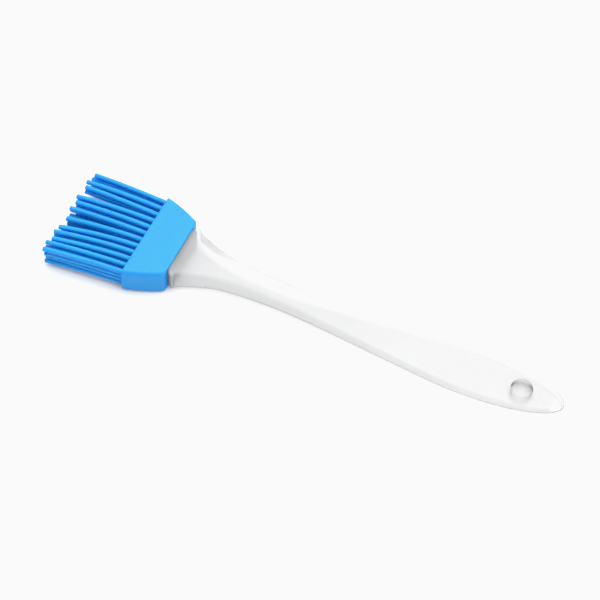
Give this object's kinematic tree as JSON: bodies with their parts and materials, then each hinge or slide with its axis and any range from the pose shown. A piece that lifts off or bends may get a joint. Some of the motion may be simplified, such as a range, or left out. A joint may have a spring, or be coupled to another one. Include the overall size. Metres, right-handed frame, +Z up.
{
  "type": "pastry brush",
  "caption": "Small silicone pastry brush: a rubbery bristle head with a closed sleeve over the tongue of a flat, tapered translucent handle with a hang hole.",
  "frame": {"origin": "on the resting surface, below the centre of the whole brush", "axes": "+X from the bristle tips to the hanging end, +Y across the width, +Z up through the thickness as the brush lies flat"},
  "size_m": [0.175, 0.036, 0.01],
  "materials": {
    "silicone": "satin azure blue silicone",
    "handle_plastic": "frosted translucent natural plastic"
  },
  "bodies": {
    "handle": {"handle": "handle_plastic"},
    "head": {"sleeve": "silicone"},
    "bristle_row_1": {"bristle_1_01": "silicone", "bristle_1_02": "silicone", "bristle_1_03": "silicone", "bristle_1_04": "silicone", "bristle_1_05": "silicone", "bristle_1_06": "silicone", "bristle_1_07": "silicone", "bristle_1_08": "silicone", "bristle_1_09": "silicone", "bristle_1_10": "silicone", "bristle_1_11": "silicone", "bristle_1_12": "silicone"},
    "bristle_row_2": {"bristle_2_01": "silicone", "bristle_2_02": "silicone", "bristle_2_03": "silicone", "bristle_2_04": "silicone", "bristle_2_05": "silicone", "bristle_2_06": "silicone", "bristle_2_07": "silicone", "bristle_2_08": "silicone", "bristle_2_09": "silicone", "bristle_2_10": "silicone", "bristle_2_11": "silicone", "bristle_2_12": "silicone"},
    "bristle_row_3": {"bristle_3_01": "silicone", "bristle_3_02": "silicone", "bristle_3_03": "silicone", "bristle_3_04": "silicone", "bristle_3_05": "silicone", "bristle_3_06": "silicone", "bristle_3_07": "silicone", "bristle_3_08": "silicone", "bristle_3_09": "silicone", "bristle_3_10": "silicone", "bristle_3_11": "silicone", "bristle_3_12": "silicone"},
    "bristle_row_4": {"bristle_4_01": "silicone", "bristle_4_02": "silicone", "bristle_4_03": "silicone", "bristle_4_04": "silicone", "bristle_4_05": "silicone", "bristle_4_06": "silicone", "bristle_4_07": "silicone", "bristle_4_08": "silicone", "bristle_4_09": "silicone", "bristle_4_10": "silicone", "bristle_4_11": "silicone", "bristle_4_12": "silicone"}
  },
  "joints": [
    {"name": "head_pull_off", "type": "slide", "parent": "handle", "child": "head", "axis": [-1, 0, 0], "range_m": [0, 0.012]},
    {"name": "bristle_row_1_bend", "type": "hinge", "parent": "head", "child": "bristle_row_1", "pos_m": [-0.0589, 0, 0.00208], "axis": [0, 1, 0], "range_deg": [-25, 25], "stiffness_Nm_per_rad": 0.02},
    {"name": "bristle_row_2_bend", "type": "hinge", "parent": "head", "child": "bristle_row_2", "pos_m": [-0.0589, 0, 0.00402], "axis": [0, 1, 0], "range_deg": [-25, 25], "stiffness_Nm_per_rad": 0.02},
    {"name": "bristle_row_3_bend", "type": "hinge", "parent": "head", "child": "bristle_row_3", "pos_m": [-0.0589, 0, 0.00598], "axis": [0, 1, 0], "range_deg": [-25, 25], "stiffness_Nm_per_rad": 0.02},
    {"name": "bristle_row_4_bend", "type": "hinge", "parent": "head", "child": "bristle_row_4", "pos_m": [-0.0589, 0, 0.00792], "axis": [0, 1, 0], "range_deg": [-25, 25], "stiffness_Nm_per_rad": 0.02}
  ],
  "couplings": [
    {"joint": "bristle_row_2_bend", "follows": "bristle_row_1_bend", "ratio": 1},
    {"joint": "bristle_row_3_bend", "follows": "bristle_row_1_bend", "ratio": 1},
    {"joint": "bristle_row_4_bend", "follows": "bristle_row_1_bend", "ratio": 1}
  ]
}
